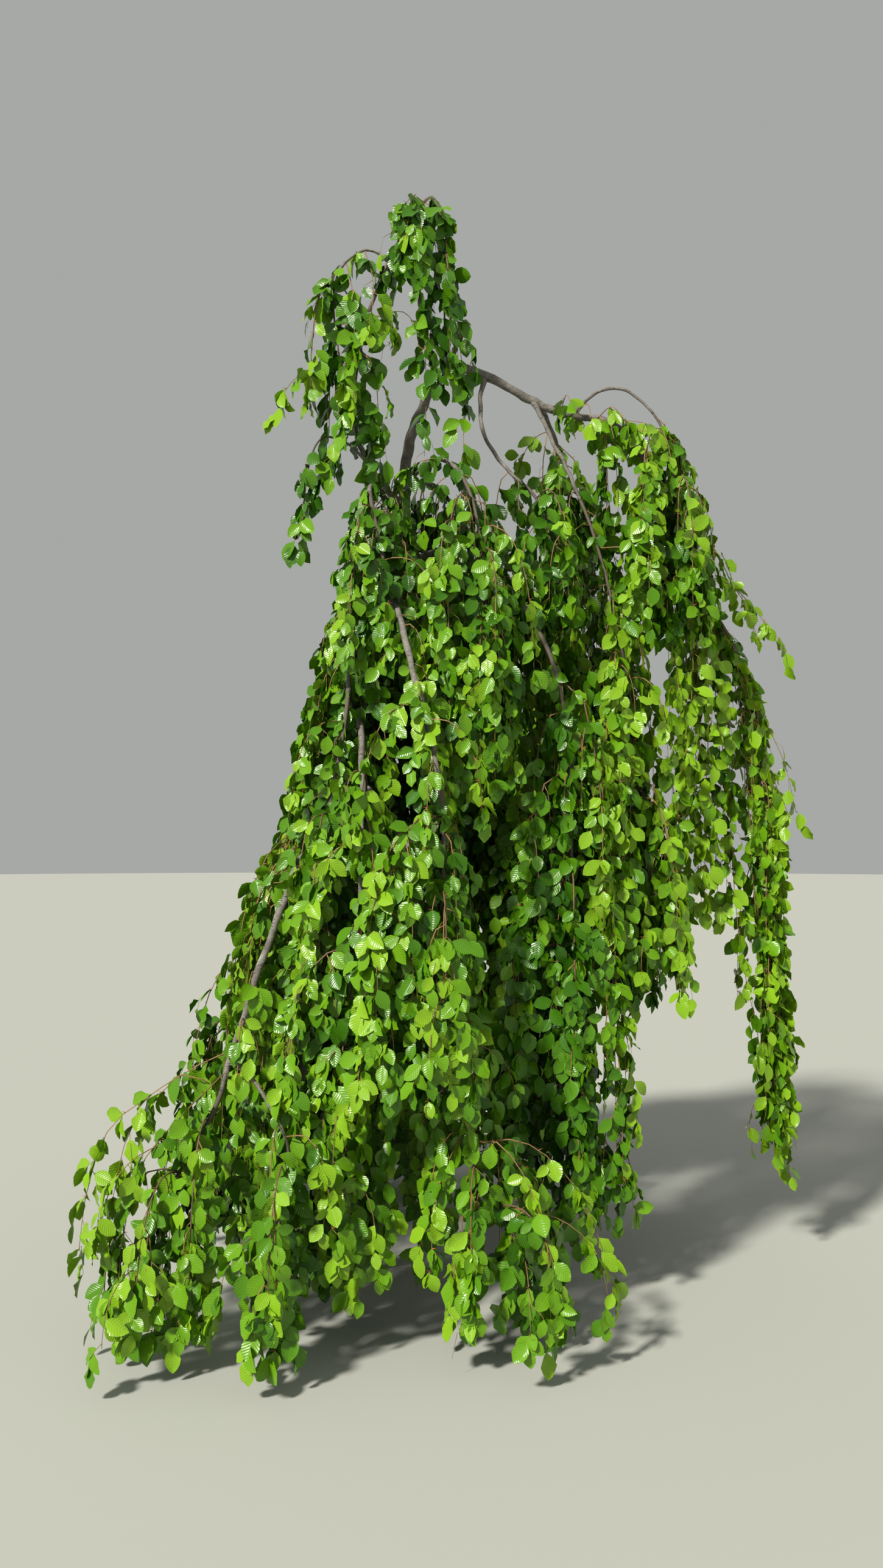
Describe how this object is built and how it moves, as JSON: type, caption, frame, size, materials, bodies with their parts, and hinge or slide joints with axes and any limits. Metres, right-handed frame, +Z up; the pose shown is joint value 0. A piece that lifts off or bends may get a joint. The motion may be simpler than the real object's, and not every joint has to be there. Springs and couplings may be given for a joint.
{
  "type": "weeping beech tree",
  "caption": "Young weeping beech, rooted in the ground: a leaning trunk that bends over into a long arch, with boughs on all sides that end in hanging masses of twigs and leaves.",
  "frame": {"origin": "middle of the trunk's flat cut at ground level", "axes": "+Z up, +X towards the side that the trunk leans and arches to, -Y the front of the crown"},
  "size_m": [2.5535, 2.4878, 4.1535],
  "materials": {
    "trunk_bark": "grey bark with fine cracks across and green lichen, matt",
    "bough_bark": "smooth grey-brown bark with pale lichen, matt",
    "foliage": "fresh green leaves, glossy on top"
  },
  "bodies": {
    "root": {"trunk": "trunk_bark", "arch_rise": "bough_bark", "arch_shoulder": "bough_bark", "arch_fall": "bough_bark", "leader_low": "bough_bark", "leader_top": "bough_bark", "leader_arm": "bough_bark", "sprig_bough": "bough_bark", "loop_bough": "bough_bark", "pendant_near": "bough_bark", "pendant_far": "bough_bark", "pendant_back": "bough_bark", "left_high_bough": "bough_bark", "centre_high_bough": "bough_bark", "right_mid_bough": "bough_bark", "centre_front_bough": "bough_bark", "left_mid_bough": "bough_bark", "left_front_bough": "bough_bark", "front_low_bough": "bough_bark", "left_low_bough": "bough_bark", "left_low_fork": "bough_bark", "left_side_bough": "bough_bark", "back_left_high_bough": "bough_bark", "back_centre_high_bough": "bough_bark", "back_right_low_bough": "bough_bark", "back_centre_low_bough": "bough_bark", "back_left_low_bough": "bough_bark", "crown_tip": "foliage", "crown_left": "foliage", "left_sprig": "foliage", "arch_crest": "foliage", "arch_tail": "foliage", "left_high": "foliage", "centre_high": "foliage", "pendant_near_fall": "foliage", "pendant_far_fall": "foliage", "right_mid": "foliage", "centre_front": "foliage", "left_mid": "foliage", "left_front": "foliage", "front_skirt": "foliage", "left_skirt": "foliage", "left_skirt_near": "foliage", "left_side": "foliage", "back_left_high": "foliage", "back_centre_high": "foliage", "back_right_high": "foliage", "back_right_low": "foliage", "back_centre_low": "foliage", "back_left_low": "foliage"}
  },
  "joints": []
}
